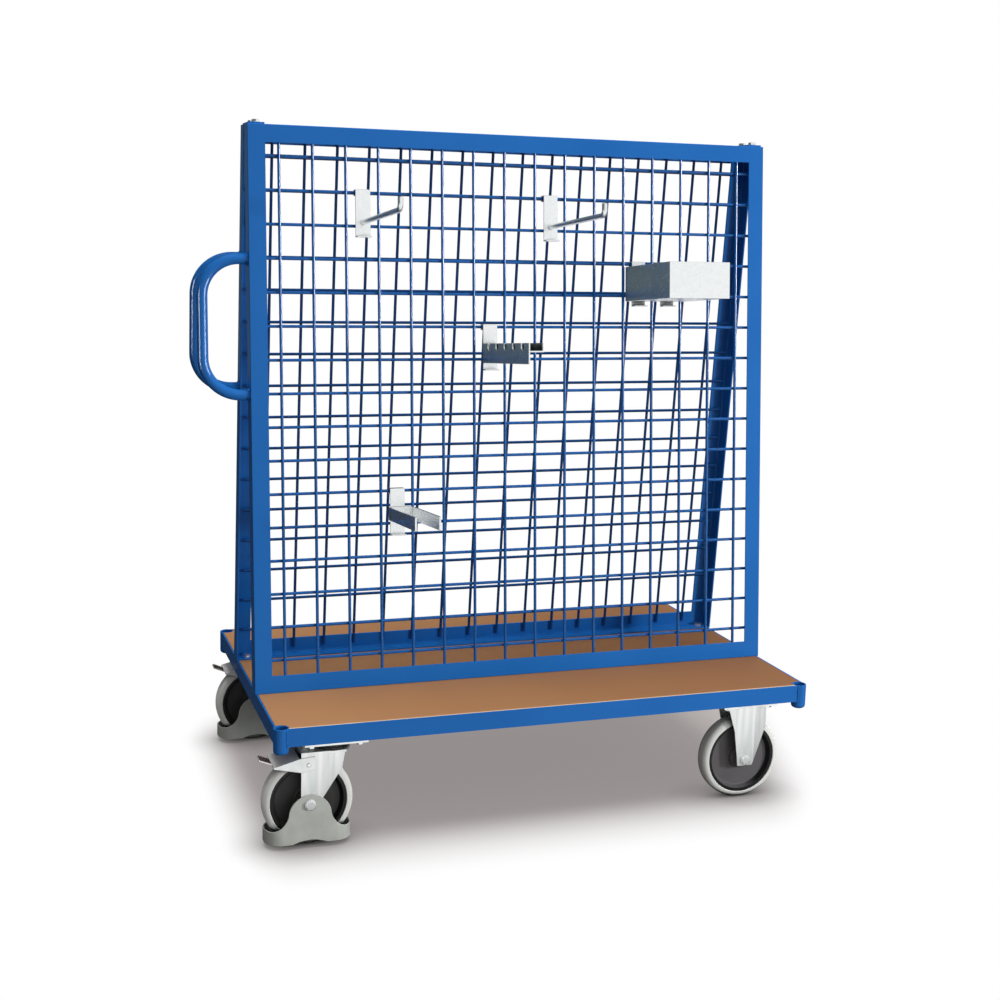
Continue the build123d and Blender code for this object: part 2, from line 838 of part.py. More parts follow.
def tool_rack():
    x = column_x(rack_column)
    near = x - rack_width / 2
    far = x + rack_width / 2
    tip = hanger_front - rack_length
    z1 = cross_wire_height(rack_row) - rack_drop
    z0 = z1 - rack_height
    shelf_top = z1 - rack_notch_depth
    shelf_bottom = shelf_top - rack_sheet
    outline = Pos((tip + hanger_front) / 2, (z0 + z1) / 2) * Rectangle(rack_length, rack_height)
    outline = fillet(outline.vertices().group_by(Axis.Y)[0].sort_by(Axis.X)[0], rack_corner)
    radius = rack_notch_width / 2
    low = shelf_top + radius
    first = hanger_front - rack_length / 2 + rack_notch_pitch * (rack_notches - 1) / 2
    for count in range(rack_notches):
        y = first - count * rack_notch_pitch
        outline -= Pos(y, low) * Circle(radius)
        outline -= Pos(y, low + rack_notch_depth / 2) * Rectangle(rack_notch_width, rack_notch_depth)
    rack = extrude(Plane.YZ.offset(near) * outline, rack_sheet, dir=(1, 0, 0))
    rack += box(near, far, tip, hanger_front, shelf_bottom, shelf_top)
    rack += box(far - rack_sheet, far, tip, hanger_front, shelf_bottom, z1)
    return panel_frame * rack


def tray():
    x = sum(column_x(column) for column in tray_columns) / len(tray_columns) + tray_shift
    half = tray_width / 2
    inside = half - tray_sheet
    tip = hanger_front - tray_length
    z1 = cross_wire_height(tray_row) - tray_drop
    z0 = z1 - tray_height
    outer = box(x - half, x + half, tip, hanger_front, z0, z1)
    y0 = tip + tray_sheet
    y1 = hanger_front - tray_sheet
    inner = box(x - inside, x + inside, y0, y1, z0 + tray_sheet, z1 + cut_margin)
    return panel_frame * (outer - inner)


def save_deck():
    front = side_rail()
    left = end_rail()
    save("front_rail", front)
    save("rear_rail", across(front))
    save("left_end_rail", left)
    save("right_end_rail", mirror(left, about=Plane.YZ))
    save("corner_posts", *corner_posts())
    save("cross_members", *cross_members())
    save("corner_gussets", *corner_gussets())
    save("deck_board", deck_board())


def save_panels():
    left_stile = panel_stile()
    pieces = {
        "panel_top_rail": [panel_top_rail()],
        "panel_bottom_rail": [panel_bottom_rail()],
        "panel_left_stile": [left_stile],
        "panel_right_stile": [mirror(left_stile, about=Plane.YZ)],
        "mesh": panel_mesh(),
        "handle": [push_handle()],
    }
    for name, shapes in pieces.items():
        save(f"front_{name}", *shapes)
        save(f"rear_{name}", *[across(shape) for shape in shapes])
    save("panel_tie_plates", *tie_plates())
    save("panel_tie_bolts", *panel_tie_bolts())
    save("panel_foot_bolts", *panel_foot_bolts())


def save_wheel(name, axle_x, x, side):
    save(f"{name}_rim", at_caster(wheel_rim(axle_x), x, side))
    save(f"{name}_tyre", at_caster(tyre(axle_x), x, side))
    save(f"{name}_hub_bearing", at_caster(hub_bearing(axle_x), x, side))


def save_casters():
    sides = {"front": -1, "rear": 1}
    save("caster_plate_bolts", *caster_plate_bolts())
    save("swivel_top_plates", *[at_caster(swivel_top_plate(), swivel_x, side) for side in sides.values()])
    save("kingpins", *[at_caster(kingpin(), swivel_x, side) for side in sides.values()])
    save("fixed_forks", *[at_caster(fixed_fork(), fixed_x, side) for side in sides.values()])
    fixed_axles = [at_caster(piece, fixed_x, side) for side in sides.values() for piece in axle(0, arm_outer)]
    save("fixed_axles", *fixed_axles)
    swivel_pieces = {
        "fork": [swivel_fork()],
        "race_ring": [race_ring()],
        "axle": axle(-caster_trail, arm_outer + guard_sheet),
        "foot_guard": [foot_guard()],
        "brake_pedal": [brake_pedal()],
        "brake_shoe": [brake_shoe()],
        "pedal_rivets": pedal_rivets(),
    }
    for place, side in sides.items():
        for name, shapes in swivel_pieces.items():
            save(f"{place}_left_{name}", *[at_caster(shape, swivel_x, side) for shape in shapes])
        save_wheel(f"{place}_left", -caster_trail, swivel_x, side)
        save_wheel(f"{place}_right", 0, fixed_x, side)


def save_holders():
    save("hanger_plates", *hanger_plates())
    save("disc_hooks", *disc_hooks())
    save("hammer_fork", hammer_fork())
    save("tool_rack", tool_rack())
    save("tray", tray())


os.makedirs("parts", exist_ok=True)
save_deck()
save_panels()
save_casters()
save_holders()
save("frame_nuts", *frame_nuts())
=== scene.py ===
import json
import math
import random

import bmesh
import bpy
from mathutils import Matrix, Vector


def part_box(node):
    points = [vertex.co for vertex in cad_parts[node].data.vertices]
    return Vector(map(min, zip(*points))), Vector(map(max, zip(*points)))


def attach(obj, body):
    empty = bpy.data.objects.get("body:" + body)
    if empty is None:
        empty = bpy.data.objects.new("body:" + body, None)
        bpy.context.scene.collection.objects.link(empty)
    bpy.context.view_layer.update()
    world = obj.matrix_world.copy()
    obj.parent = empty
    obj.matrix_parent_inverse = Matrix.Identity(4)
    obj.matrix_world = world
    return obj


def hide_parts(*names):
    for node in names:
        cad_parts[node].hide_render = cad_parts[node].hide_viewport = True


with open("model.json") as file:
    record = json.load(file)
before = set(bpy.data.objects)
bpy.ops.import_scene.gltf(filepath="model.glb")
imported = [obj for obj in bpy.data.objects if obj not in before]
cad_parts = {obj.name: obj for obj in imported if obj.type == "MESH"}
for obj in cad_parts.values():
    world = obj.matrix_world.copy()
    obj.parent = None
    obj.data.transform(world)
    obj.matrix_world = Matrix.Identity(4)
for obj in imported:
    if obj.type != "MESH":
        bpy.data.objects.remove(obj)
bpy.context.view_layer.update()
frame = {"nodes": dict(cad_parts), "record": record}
cadNodes = frame["nodes"]
slotOf = {part["node"]: part["material_slot"] for part in frame["record"]["subparts"]}
bodyOf = {node: body for body, nodes in frame["record"]["behaviour"]["bodies"].items() for node in nodes}
black = (0, 0, 0, 1)
white = (1, 1, 1, 1)
print("frame loaded:", len(cadNodes), "nodes")


def ink(*levels):  # linear colour from screen levels of 0 to 255
    tone = []
    for level in levels:
        share = level / 255
        tone.append(share / 12.92 if share <= 0.04045 else ((share + 0.055) / 1.055) ** 2.4)
    return (*tone, 1.0)


class Strand:  # a shader socket that can be worked with like a number
    def __init__(self, tree, socket=None):
        self.tree = tree
        self.socket = socket

    def feed(self, node, inputs):
        for name, value in inputs.items():
            if isinstance(value, Strand):
                self.tree.links.new(value.socket, node.inputs[name])
            else:
                node.inputs[name].default_value = value

    def add(self, kind, settings=None, inputs=None, out=0):
        node = self.tree.nodes.new("ShaderNode" + kind)
        for name, value in (settings or {}).items():
            if name == "stops":
                stops = node.color_ramp.elements
                for index, (place, tone) in enumerate(value):
                    stop = stops[index] if index < 2 else stops.new(place)
                    stop.position = place
                    stop.color = (tone, tone, tone, 1)
            else:
                setattr(node, name, value)
        self.feed(node, inputs or {})
        return Strand(self.tree, node.outputs[out])

    def calc(self, operation, other=0.0, swapped=False):
        pair = {0: other, 1: self} if swapped else {0: self, 1: other}
        return self.add("Math", {"operation": operation}, pair)

    def __add__(self, other):
        return self.calc("ADD", other)

    def __sub__(self, other):
        return self.calc("SUBTRACT", other)

    def __mul__(self, other):
        return self.calc("MULTIPLY", other)

    def __truediv__(self, other):
        return self.calc("DIVIDE", other)

    def __pow__(self, other):
        return self.calc("POWER", other)

    def __rsub__(self, other):
        return self.calc("SUBTRACT", other, True)

    def __rtruediv__(self, other):
        return self.calc("DIVIDE", other, True)

    __radd__ = __add__
    __rmul__ = __mul__

    def clamp(self):
        return self.calc("MAXIMUM", 0.0).calc("MINIMUM", 1.0)

    def smooth(self, low=0.0, high=1.0):
        limits = {"Value": self, "From Min": low, "From Max": high}
        return self.add("MapRange", {"interpolation_type": "SMOOTHSTEP"}, limits)

    def vector(self, operation, other=(0, 0, 0), out="Vector"):
        return self.add("VectorMath", {"operation": operation}, {0: self, 1: other}, out)

    def axis(self, name):
        return self.add("SeparateXYZ", {}, {"Vector": self}, name)

    def ramp(self, *stops):
        return self.add("ValToRGB", {"stops": stops}, {"Fac": self})

    def blend(self, low, high):
        return self.add("Mix", {"data_type": "RGBA"}, {0: self, 6: low, 7: high}, 2)

    def noise(self, scale, detail=2.0):
        return self.add("TexNoise", {}, {"Vector": self, "Scale": scale, "Detail": detail})

    def bump(self, strength, depth):
        return self.add("Bump", {}, {"Height": self, "Strength": strength, "Distance": depth})

    def openness(self, reach):
        return self.add("AmbientOcclusion", {"samples": 8}, {"Distance": reach}, "AO")


def newFinish(name, recipe, **extras):
    material = bpy.data.materials.new(name)
    material.use_nodes = True
    start = Strand(material.node_tree)
    coords = start.add("TexCoord", out="Object")
    start.feed(material.node_tree.nodes["Principled BSDF"], recipe(coords, **extras))
    return material


def paintLooks(coords, deep, fresh, rough, shine):
    cloud = coords.noise(3.0)
    peel = coords.noise(300.0, 1.0)
    return {
        "Base Color": cloud.ramp((0.3, 0), (0.7, 1)).blend(deep, fresh),
        "Roughness": coords.noise(40.0) * 0.1 + rough,
        "Specular IOR Level": shine,
        "Normal": peel.bump(0.03, 0.0004),
    }


def boardLooks(coords):
    look = {"dark": ink(118, 77, 46), "pale": ink(160, 116, 78), "edge": ink(212, 184, 150)}
    look.update({"rough": 0.5, "shine": 0.15, "middle": 0.72, "fade": 0.6, "fleck": 0.35, "cloud": 0.25})
    look.update({"skin": 0.0007, "cut": 0.0035, "cutSharp": 2000.0, "plies": 2400.0})
    fleck = coords.noise(900.0)
    cloud = coords.noise(3.0, 4.0)
    tone = look["middle"] - coords.axis("X") * look["fade"]
    tone = tone + (fleck - 0.5) * look["fleck"] + (cloud - 0.5) * look["cloud"]
    film = tone.ramp((0, 0), (1, 1)).blend(look["dark"], look["pale"])
    rim = ((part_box("deck_board")[0].y + look["cut"]) - coords.axis("Y")) * look["cutSharp"]
    film = rim.clamp().blend(film, look["edge"])
    plies = (coords.axis("Z") * look["plies"]).calc("SINE") * 0.5 + 0.5
    side = coords.axis("Z").calc("LESS_THAN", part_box("deck_board")[1].z - look["skin"])
    edge = plies.blend(look["edge"], look["dark"])
    return {
        "Base Color": side.blend(film, edge),
        "Roughness": cloud * 0.15 + look["rough"],
        "Specular IOR Level": look["shine"],
        "Normal": fleck.bump(0.1, 0.0004),
    }


def zincLooks(coords, dull, bright, metal, rough, stretch):
    cloud = coords.vector("MULTIPLY", stretch).noise(1.0, 4.0)
    grain = coords.noise(700.0, 1.0)
    return {
        "Base Color": cloud.ramp((0.35, 0), (0.65, 1)).blend(dull, bright),
        "Metallic": cloud * 0.1 + metal,
        "Roughness": grain * 0.12 + rough,
        "Normal": grain.bump(0.05, 0.0003),
    }


def pedalLooks(coords):
    look = {"side": ink(226, 231, 230), "top": ink(232, 227, 223), "bright": ink(246, 248, 247)}
    look.update({"rough": 0.28, "metal": 0.85, "paleTopMatt": 0.8})
    # upward faces get a pale matt finish: painted light for a top that lies in the deck's shade
    top = coords.add("TexCoord", out="Normal").axis("Z").smooth(0.5, 0.9)
    cloud = coords.noise(40.0, 4.0)
    plate = cloud.ramp((0.35, 0), (0.65, 1)).blend(look["side"], look["bright"])
    return {
        "Base Color": top.blend(plate, look["top"]),
        "Metallic": look["metal"] - top * look["paleTopMatt"],
        "Roughness": cloud * 0.1 + look["rough"],
        "Normal": coords.noise(700.0, 1.0).bump(0.05, 0.0003),
    }


def sheetLooks(coords, shut, bare):  # painted shade: the sheet darkens where it is less open than bare (ambient occlusion)
    look = {"dull": ink(234, 238, 239), "bright": ink(246, 248, 248), "paintedShade": ink(34, 37, 40)}
    look.update({"rough": 0.26, "metal": 0.9, "near": 0.04})
    spangle = coords.add("TexVoronoi", {}, {"Vector": coords, "Scale": 110.0}, "Color").axis("X")
    unshaded = coords.openness(look["near"]).ramp((shut, 0), (bare, 1))
    return {
        "Base Color": unshaded.blend(look["paintedShade"], spangle.blend(look["dull"], look["bright"])),
        "Metallic": spangle * 0.08 + look["metal"],
        "Roughness": spangle * 0.1 + look["rough"],
        "Normal": coords.noise(250.0).bump(0.04, 0.0004),
    }


def oiledLooks(coords):
    look = {"dark": ink(50, 50, 52), "worn": ink(98, 97, 96), "rough": 0.38, "metal": 0.8}
    wear = coords.noise(160.0, 5.0)
    return {
        "Base Color": wear.ramp((0.42, 0), (0.68, 1)).blend(look["dark"], look["worn"]),
        "Metallic": look["metal"],
        "Roughness": wear * 0.25 + look["rough"],
        "Normal": wear.bump(0.08, 0.0004),
    }


def guardLooks(coords):
    look = {"dark": ink(168, 172, 165), "pale": ink(182, 185, 179), "rough": 0.4}
    cloud = coords.noise(26.0, 4.0)
    return {
        "Base Color": cloud.ramp((0.3, 0), (0.7, 1)).blend(look["dark"], look["pale"]),
        "Roughness": cloud * 0.2 + look["rough"],
        "Normal": coords.noise(500.0).bump(0.08, 0.0005),
    }


def fromAxle(coords, axle):
    return coords.vector("SUBTRACT", axle).vector("MULTIPLY", (1, 0, 1))


def wheelReach(coords, axle):  # distance from the axle's line
    return fromAxle(coords, axle).vector("LENGTH", out="Value")


def rimLooks(coords, axle):
    look = {"dark": ink(50, 48, 48), "dustyLit": ink(88, 86, 88), "paintedShade": ink(18, 17, 17), "rough": 0.42}
    look.update({"wall": 0.0715, "wallSharp": 800.0, "lip": 0.0772, "lipSharp": 1500.0, "shadeSharp": 30.0})
    grain = coords.noise(600.0)
    # rim face lighter towards +X: partly random dust, partly painted light from the right
    dustAndLight = coords.noise(22.0, 4.0) * 0.4 + coords.axis("X") * 0.8
    face = dustAndLight.ramp((0.05, 0), (0.65, 1)).blend(look["dark"], look["dustyLit"])
    reach = wheelReach(coords, axle)
    # near black on the dish wall's +X side, which faces away from the light (painted shade), and on the lip
    # all round
    deep = ((reach - look["wall"]) * look["wallSharp"]).clamp()
    shadedSide = (fromAxle(coords, axle).axis("X") * look["shadeSharp"] - 0.4).clamp()
    lip = ((reach - look["lip"]) * look["lipSharp"]).clamp()
    return {
        "Base Color": (deep * shadedSide).calc("MAXIMUM", lip).blend(face, look["paintedShade"]),
        "Roughness": grain * 0.2 + look["rough"],
        "Normal": grain.bump(0.12, 0.0004),
    }


def tyreLooks(coords, axle):
    look = {"tread": ink(226, 227, 223), "wall": ink(212, 214, 210), "tyreShade": ink(16, 16, 16), "rough": 0.6}
    look.update({"shoulder": 0.0960, "shoulderSharp": 300.0, "ragged": 0.003, "near": 0.06})
    scuff = coords.noise(120.0, 4.0)
    tread = (wheelReach(coords, axle) + scuff * look["ragged"] - look["shoulder"]) * look["shoulderSharp"]
    # the tread's grey is set lighter than the sidewall's to lift the shade it sits in: painted light
    rubber = tread.clamp().blend(look["wall"], look["tread"])
    # painted shade: the rubber goes near black where it is less open (ambient occlusion), as under the guards
    unshaded = coords.openness(look["near"]).ramp((0.25, 0), (0.6, 1))
    return {
        "Base Color": unshaded.blend(look["tyreShade"], rubber),
        "Roughness": scuff * 0.2 + look["rough"],
        "Normal": coords.noise(900.0).bump(0.1, 0.0003),
    }


def rubberLooks(coords):
    look = {"dark": ink(48, 40, 40), "worn": ink(96, 80, 78), "rough": 0.55}
    wear = coords.noise(200.0, 4.0)
    return {
        "Base Color": wear.ramp((0.4, 0), (0.75, 1)).blend(look["dark"], look["worn"]),
        "Roughness": wear * 0.2 + look["rough"],
        "Normal": wear.bump(0.1, 0.0004),
    }


finishes = {
    "blue_paint": newFinish("bluePaint", paintLooks, deep=ink(24, 92, 163), fresh=ink(30, 99, 172),
                            rough=0.12, shine=0.12),
    "board_wood": newFinish("boardFilm", boardLooks),
    "zinc_steel": newFinish("brightZinc", zincLooks, dull=ink(230, 235, 234), bright=ink(248, 250, 249),
                            metal=0.88, rough=0.16, stretch=(30, 30, 30)),
    "galvanised": newFinish("galvanisedSheet", sheetLooks, shut=0.25, bare=0.6),
    "dark_steel": newFinish("oiledSteel", oiledLooks),
    "guard_grey": newFinish("guardPaint", guardLooks),
}
forkZinc = newFinish("forkZinc", zincLooks, dull=ink(222, 228, 227), bright=ink(252, 253, 252),
                     metal=0.8, rough=0.26, stretch=(55, 55, 5))
pedalZinc = newFinish("pedalZinc", pedalLooks)
treadRubber = newFinish("treadRubber", rubberLooks)
# the wires use a darker copy of the frame's blue, the same real paint: painted shade
wirePaintShaded = newFinish("wirePaintShaded", paintLooks, deep=ink(20, 78, 142), fresh=ink(26, 86, 152),
                      rough=0.15, shine=0.15)
# the rack's sheet takes more painted shade, so its channel reads dark inside
rackSheet = newFinish("rackSheet", sheetLooks, shut=0.5, bare=0.85)
print("finishes made")


def middleOf(node):
    low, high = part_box(node)
    return (low + high) / 2


def cornersOf(points):
    low = Vector([min(point[i] for point in points) for i in range(3)])
    high = Vector([max(point[i] for point in points) for i in range(3)])
    return low, high


def weldedMesh(node):
    shape = bmesh.new()
    shape.from_mesh(cadNodes[node].data)
    bmesh.ops.remove_doubles(shape, verts=shape.verts, dist=1e-5)
    return shape


def solidsOf(node):  # corner boxes of the separate solids in a node, in a steady order
    shape = weldedMesh(node)
    waiting = set(shape.verts)
    boxes = []
    while waiting:
        group = [waiting.pop()]
        for vert in group:
            for edge in vert.link_edges:
                other = edge.other_vert(vert)
                if other in waiting:
                    waiting.remove(other)
                    group.append(other)
        boxes.append(cornersOf([vert.co for vert in group]))
    shape.free()
    return sorted(boxes, key=lambda box: [round(value, 4) for value in (*box[0], *box[1])])


def joined(shapes):
    points = []
    faces = []
    for shapePoints, shapeFaces in shapes:
        start = len(points)
        points += shapePoints
        faces += [[start + corner for corner in face] for face in shapeFaces]
    return points, faces


def placed(shape, matrix):
    return [matrix @ Vector(point) for point in shape[0]], shape[1]


def loft(rings, ringClosed=True, looped=False):
    count = len(rings[0])
    points = [Vector(point) for ring in rings for point in ring]
    faces = []
    for row in range(len(rings) - (0 if looped else 1)):
        here = row * count
        there = (row + 1) % len(rings) * count
        for column in range(count - (0 if ringClosed else 1)):
            beside = (column + 1) % count
            faces.append([here + column, here + beside, there + beside, there + column])
    if ringClosed and not looped:
        faces.append(list(range(count)))
        faces.append([len(points) - 1 - column for column in range(count)])
    return points, faces


def lathe(profile, count, closed=False):  # profile of (radius, height), turned about Z
    rings = []
    for step in range(count):
        turn = 2 * math.pi * step / count
        x, y = math.cos(turn), math.sin(turn)
        rings.append([(radius * x, radius * y, height) for radius, height in profile])
    return loft(rings, ringClosed=closed, looped=True)


def roundOutline(corners, steps=3):  # corners of (u, v, radius)
    outline = []
    for index, (u, v, radius) in enumerate(corners):
        here = Vector((u, v))
        if radius == 0:
            outline.append(here)
            continue
        before = (Vector(corners[index - 1][:2]) - here).normalized()
        after = (Vector(corners[(index + 1) % len(corners)][:2]) - here).normalized()
        half = before.angle(after) / 2
        centre = here + (before + after).normalized() * radius / math.sin(half)
        first = here + before * radius / math.tan(half) - centre
        last = here + after * radius / math.tan(half) - centre
        start = math.atan2(first.y, first.x)
        sweep = (math.atan2(last.y, last.x) - start + math.pi) % (2 * math.pi) - math.pi
        for step in range(steps + 1):
            turn = start + sweep * step / steps
            outline.append(centre + Vector((math.cos(turn), math.sin(turn))) * radius)
    return outline


def bothSides(half):  # a profile and its mirror image in the wheel's middle plane
    return half + [(radius, -height, fillet) for radius, height, fillet in reversed(half)]


def keep(name, shape, material, body, stands, sharp):
    bmesh.ops.recalc_face_normals(shape, faces=shape.faces)
    mesh = bpy.data.meshes.new(name)
    shape.to_mesh(mesh)
    shape.free()
    mesh.shade_smooth()
    mesh.set_sharp_from_angle(angle=math.radians(sharp))
    mesh.materials.append(material)
    piece = bpy.data.objects.new(name, mesh)
    bpy.context.scene.collection.objects.link(piece)
    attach(piece, body)
    if stands:
        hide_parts(*stands)
    piece.modifiers.new("even", "WEIGHTED_NORMAL").keep_sharp = True


def newPiece(name, shapes, material, body, stands=(), sharp=35):
    points, faces = joined(shapes)
    mesh = bpy.data.meshes.new(name + "_draft")
    mesh.from_pydata([tuple(point) for point in points], [], faces)
    shape = bmesh.new()
    shape.from_mesh(mesh)
    bpy.data.meshes.remove(mesh)
    bmesh.ops.remove_doubles(shape, verts=shape.verts, dist=1e-6)
    bmesh.ops.dissolve_degenerate(shape, edges=shape.edges, dist=1e-7)
    keep(name, shape, material, body, stands, sharp)


def standIn(node, shapes, finish=None, sharp=35):
    material = finish or finishes[slotOf[node]]
    newPiece(node + "_made", shapes, material, bodyOf[node], [node], sharp)


def roundedCopy(node, width, finish=None, sharp=35):
    flat = math.radians(0.6)
    bent = math.radians(35)
    shape = weldedMesh(node)
    bmesh.ops.dissolve_limit(shape, angle_limit=flat, verts=shape.verts, edges=shape.edges)
    corners = [edge for edge in shape.edges if edge.is_manifold and edge.calc_face_angle() > bent]
    bmesh.ops.bevel(shape, geom=corners, offset=width, offset_type="OFFSET", segments=2, profile=0.5,
                    affect="EDGES", clamp_overlap=True)
    material = finish or finishes[slotOf[node]]
    keep(node + "_rounded", shape, material, bodyOf[node], [node], sharp)


# weld beads
beadSet = {"ripple": 0.2, "beat": 2.1, "uneven": 0.08, "sides": 8, "step": 0.0016, "skew": (0.31, 0.52, 0.79)}


def bead(path, radius, seed, looped=False):  # along a list of points
    dice = random.Random(seed)
    rings = []
    count = len(path)
    for index, point in enumerate(path):
        ahead = path[(index + 1) % count] if looped or index < count - 1 else point
        behind = path[index - 1] if looped or index else point
        along = (ahead - behind).normalized()
        across = along.cross(Vector(beadSet["skew"])).normalized()
        up = along.cross(across)
        wave = beadSet["ripple"] * math.sin(index * beadSet["beat"])
        size = radius * (1 + wave + dice.uniform(-beadSet["uneven"], beadSet["uneven"]))
        if not looped:
            size *= min(1, 0.25 + 0.5 * min(index, count - 1 - index))  # the ends taper
        ring = []
        for step in range(beadSet["sides"]):
            turn = 2 * math.pi * step / beadSet["sides"]
            ring.append(point + (across * math.cos(turn) + up * math.sin(turn)) * size)
        rings.append(ring)
    return loft(rings, looped=looped)


def line(start, end):
    count = max(4, round((end - start).length / beadSet["step"]))
    return [start.lerp(end, index / count) for index in range(count + 1)]


# fasteners; all but count and pitch are shares of the flats, the bore or the thread's radius
hexSet = {"count": 48, "face": 0.475, "cut": 0.48, "slope": 0.58, "mouth": 1.12, "mouthDeep": 0.12}
threadSet = {"pitch": 0.0015, "root": 0.88, "tip": 0.8}


def hexReach(flats, turn):
    return flats / 2 / math.cos((turn + math.pi / 6) % (math.pi / 3) - math.pi / 6)


def hexSolid(flats, low, high, lowCut=False, highCut=False, bore=0.0):  # hexagon with turned chamfers
    count = hexSet["count"]
    turns = [2 * math.pi * step / count for step in range(count)]
    reaches = [hexReach(flats, turn) for turn in turns]

    def ring(height, sizes):
        return [(size * math.cos(turn), size * math.sin(turn), height) for size, turn in zip(sizes, turns)]

    def evenRing(height, size):
        return ring(height, [size] * count)

    def skewed(height, sign):
        drops = [(size - flats * hexSet["cut"]) * hexSet["slope"] for size in reaches]
        return [(size * math.cos(turn), size * math.sin(turn), height - sign * drop)
                for size, turn, drop in zip(reaches, turns, drops)]

    rings = []
    if lowCut:
        rings += [evenRing(low, flats * hexSet["face"]), skewed(low, -1)]
    else:
        rings.append(ring(low, reaches))
    if highCut:
        rings += [skewed(high, 1), evenRing(high, flats * hexSet["face"])]
    else:
        rings.append(ring(high, reaches))
    if bore:
        mouth = bore * hexSet["mouth"]
        deep = bore * hexSet["mouthDeep"]
        rings += [evenRing(high, mouth), evenRing(high - deep, bore)]
        rings += [evenRing(low + deep, bore), evenRing(low, mouth)]
    return loft(rings, looped=bore > 0)


def threaded(radius, low, high):
    count = max(2, int((high - low) / threadSet["pitch"]))
    profile = [(0, low)]
    for index in range(count):
        start = low + (high - low) * index / count
        profile += [(radius * threadSet["root"], start), (radius, start + (high - low) / count * 0.5)]
    profile += [(radius * threadSet["tip"], high), (0, high)]
    return lathe(profile, count=32)


def washer(inner, outer, low, high):
    edge = (high - low) * 0.25
    profile = [(inner, low), (outer - edge, low), (outer, low + edge), (outer, high - edge)]
    profile += [(outer - edge, high), (inner, high)]
    return lathe(profile, count=48, closed=True)


# panel frames of rolled angle, mitred at the corners; head is the front panel's outer face at the top
panelSet = {"leg": 0.040, "wall": 0.004, "heel": 0.0022, "toe": 0.0017, "root": 0.005, "head": -0.045}
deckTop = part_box("deck_board")[1].z
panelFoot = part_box("front_panel_bottom_rail")[0].y
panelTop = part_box("front_panel_top_rail")[1].z
panelLow = min(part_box("front_panel_bottom_rail")[0].x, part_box("front_panel_left_stile")[0].x)
panelHigh = max(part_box("front_panel_bottom_rail")[1].x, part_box("front_panel_right_stile")[1].x)
lean = math.atan2(panelSet["head"] - panelFoot, panelTop - deckTop)
panelRun = math.hypot(panelSet["head"] - panelFoot, panelTop - deckTop)


def panelPoint(side, x, along, depth):
    y = panelFoot + along * math.sin(lean) + depth * math.cos(lean)
    z = deckTop + along * math.cos(lean) - depth * math.sin(lean)
    return Vector((x, -side * y, z))


def angleOutline():
    leg, wall, heel, toe, root = (panelSet[name] for name in ("leg", "wall", "heel", "toe", "root"))
    edge = toe * 0.4
    corners = [(0, 0, heel), (leg, 0, edge), (leg, wall, toe)]
    corners += [(wall, wall, root), (wall, leg, toe), (0, leg, edge)]
    return roundOutline(corners)


def dressPanels():
    outline = angleOutline()
    slope = math.tan(lean)
    for name, side in (("front", -1), ("rear", 1)):
        lowLeft = [panelPoint(side, panelLow + a, a + d * slope, d) for a, d in outline]
        lowRight = [panelPoint(side, panelHigh - a, a + d * slope, d) for a, d in outline]
        topLeft = [panelPoint(side, panelLow + a, panelRun - a + d * slope, d) for a, d in outline]
        topRight = [panelPoint(side, panelHigh - a, panelRun - a + d * slope, d) for a, d in outline]
        bars = {"left_stile": (lowLeft, topLeft), "right_stile": (lowRight, topRight)}
        bars.update({"bottom_rail": (lowLeft, lowRight), "top_rail": (topLeft, topRight)})
        for bar, ends in bars.items():
            standIn(f"{name}_panel_{bar}", [loft(ends)], sharp=30)


dressPanels()
print("panel frames done")


# weld spots where the mesh wires cross, and weld rings round the handles' ends
weldSet = {"spot": 0.0041, "wire": 0.0035, "thin": 0.02, "long": 0.5, "bead": 0.0022}
weldSet.update({"ring": 0.0026, "ringCount": 44, "ringBack": 0.0012, "ringSeed": 7, "endFlat": 0.0004})
weldSet["blob"] = [(0, -0.6), (0.75, -0.45), (1, 0), (0.75, 0.45), (0, 0.6)]


def weldMesh(name, side):
    blob = lathe(weldSet["blob"], count=8)
    boxes = solidsOf(name + "_mesh")
    uprights = [box for box in boxes if box[1].x - box[0].x < weldSet["thin"]]
    crosses = [box for box in boxes if box[1].x - box[0].x > weldSet["long"]]
    spots = []
    tilt = Matrix.Rotation(math.radians(90) + side * lean, 4, "X")
    for upright in uprights:
        for cross in crosses:
            at = (cross[0] + cross[1]) / 2
            at.x = (upright[0].x + upright[1].x) / 2
            at += Vector((0, side * weldSet["wire"], 0))
            spots.append(placed(blob, Matrix.Translation(at) @ tilt @ Matrix.Scale(weldSet["spot"], 4)))
    newPiece(name + "_mesh_welds", spots, wirePaintShaded, "chassis")


def weldHandle(name):
    rings = []
    low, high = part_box(name + "_handle")
    points = [vert.co for vert in cadNodes[name + "_handle"].data.vertices]
    ends = [point for point in points if point.x > high.x - weldSet["endFlat"]]
    for upper in (False, True):
        near, far = cornersOf([point for point in ends if (point.z > (low.z + high.z) / 2) == upper])
        path = []
        for step in range(weldSet["ringCount"]):
            turn = 2 * math.pi * step / weldSet["ringCount"]
            y = (far.y - near.y) / 2 * math.cos(turn)
            z = (far.z - near.z) / 2 * math.sin(turn)
            path.append((near + far) / 2 + Vector((0, y, z)) + Vector((-weldSet["ringBack"], 0, 0)))
        rings.append(bead(path, weldSet["ring"], weldSet["ringSeed"] + upper, looped=True))
    newPiece(name + "_handle_welds", rings, finishes["blue_paint"], "chassis")


for name, side in (("front", -1), ("rear", 1)):
    weldMesh(name, side)
    weldHandle(name)
print("welds done")


# corner posts: open sockets with rounded lower ends, welded to the rails
postSet = {"bore": 0.01425, "floor": 0.006, "lip": 0.0008, "round": 0.008, "heel": 0.004}


